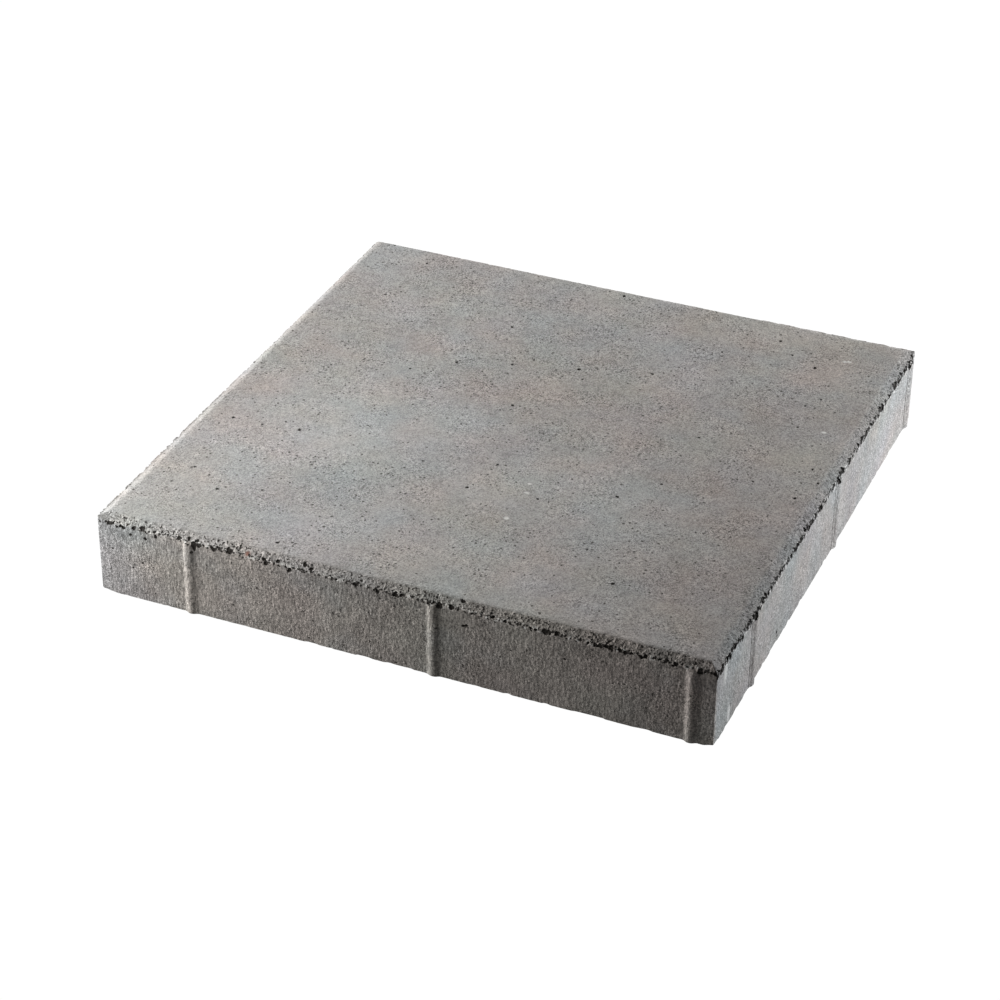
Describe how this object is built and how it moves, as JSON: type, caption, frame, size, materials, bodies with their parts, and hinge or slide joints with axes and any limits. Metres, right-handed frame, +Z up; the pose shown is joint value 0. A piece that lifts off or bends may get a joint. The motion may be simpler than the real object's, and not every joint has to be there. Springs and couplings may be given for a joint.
{
  "type": "concrete paving slab",
  "caption": "Square concrete paving slab with a chamfered top edge and rounded spacer nibs along its sides, laid flat as ground paving.",
  "frame": {"origin": "middle of the bed face, the flat underside that lies on the ground", "axes": "+Z up through the wearing face; X and Y square to the four sides, with -Y the side towards the viewer on the left of the picture"},
  "size_m": [0.502, 0.502, 0.07],
  "materials": {
    "concrete": "cast, fair-faced, slightly sandy"
  },
  "bodies": {
    "root": {"paving_slab": "concrete"}
  },
  "joints": []
}
